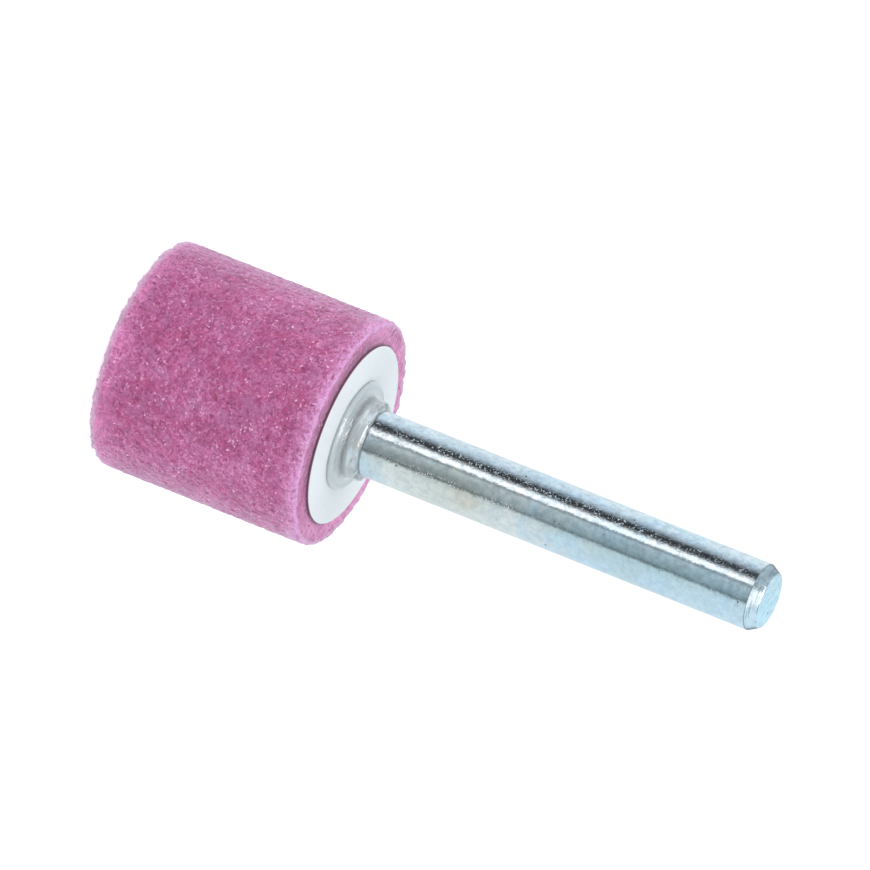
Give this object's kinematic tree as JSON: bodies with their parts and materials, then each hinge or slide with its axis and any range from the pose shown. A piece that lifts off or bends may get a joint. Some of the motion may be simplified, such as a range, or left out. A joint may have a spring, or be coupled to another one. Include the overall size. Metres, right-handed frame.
{
  "type": "mounted point",
  "caption": "Cylindrical pink abrasive mounted point on a chamfered plated steel shank, with a white disc and a clear adhesive collar, for grinding in a collet.",
  "frame": {"origin": "centre of the wheel's free end face, on which the part stands", "axes": "+Z along the axis from the wheel's free end to the shank's tip; the part is a body of revolution, so X and Y are free"},
  "size_m": [0.0205, 0.0204, 0.06],
  "materials": {
    "bonded_abrasive": "matte",
    "plated_steel": "gloss",
    "white_disc": "satin",
    "clear_adhesive": "gloss"
  },
  "bodies": {
    "root": {"grinding_wheel": "bonded_abrasive", "shank": "plated_steel", "cover_disc": "white_disc", "adhesive": "clear_adhesive"}
  },
  "joints": []
}
